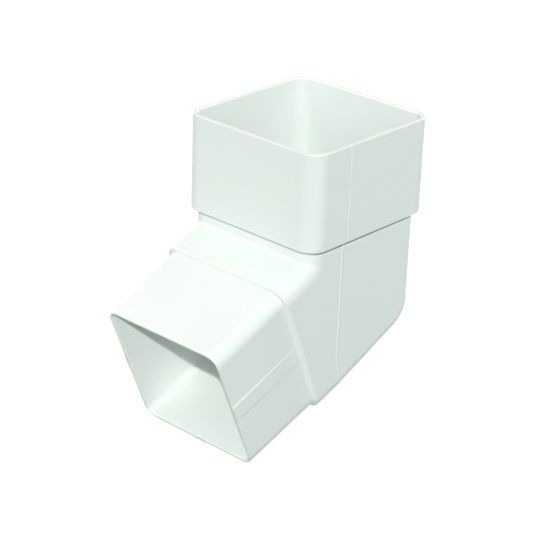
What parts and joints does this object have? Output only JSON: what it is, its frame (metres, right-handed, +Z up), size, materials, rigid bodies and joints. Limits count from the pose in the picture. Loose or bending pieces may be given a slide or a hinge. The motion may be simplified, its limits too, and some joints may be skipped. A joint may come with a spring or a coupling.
{
  "type": "downpipe offset bend",
  "caption": "Square rainwater downpipe offset bend: a deep socket on top, a short elbow turned forward and down, and a stepped-in spigot with low grip ribs.",
  "frame": {"origin": "on the socket axis, at the seat ledge where the upper pipe stops", "axes": "+Z up along the socket, the way the upper pipe leaves; the bend lies in the YZ plane and the spigot points to -Y and down; X is across the bend, with X = 0 the plane of symmetry"},
  "size_m": [0.0696, 0.1163, 0.1243],
  "materials": {
    "white_pipe_plastic": "smooth moulded plastic, satin gloss, with a faint cool green tint"
  },
  "bodies": {
    "root": {"offset_bend": "white_pipe_plastic"}
  },
  "joints": []
}
